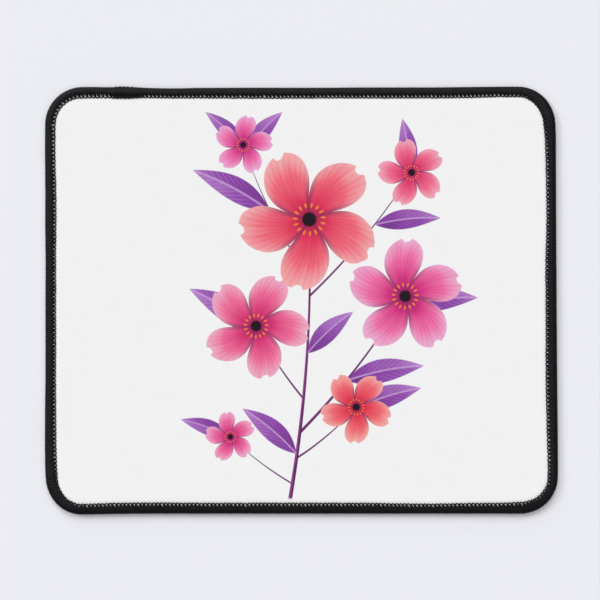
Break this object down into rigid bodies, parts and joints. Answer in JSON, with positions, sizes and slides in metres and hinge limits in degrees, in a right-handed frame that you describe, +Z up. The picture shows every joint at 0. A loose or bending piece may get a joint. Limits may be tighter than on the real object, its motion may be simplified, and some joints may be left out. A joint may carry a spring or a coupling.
{
  "type": "mouse pad",
  "caption": "Flat rectangular mouse pad with rounded corners: printed cloth face bonded to a foam rubber base, its edge bound by black overlock stitching.",
  "frame": {"origin": "on the table, under the middle of the pad", "axes": "+X along the long side, to the right in the picture; +Y along the short side, to the top of the picture; +Z up, out of the cloth face"},
  "size_m": [0.24, 0.2, 0.0036],
  "materials": {
    "cloth": "fine white polyester cloth with a colour print",
    "film": "milky hot-melt film",
    "rubber": "matt black foam rubber with a fine non-slip relief",
    "thread": "black bulked polyester thread"
  },
  "bodies": {
    "root": {"cloth_face": "cloth", "bond_film": "film", "rubber_base": "rubber", "needle_thread": "thread", "upper_looper_thread": "thread", "lower_looper_thread": "thread"}
  },
  "joints": []
}
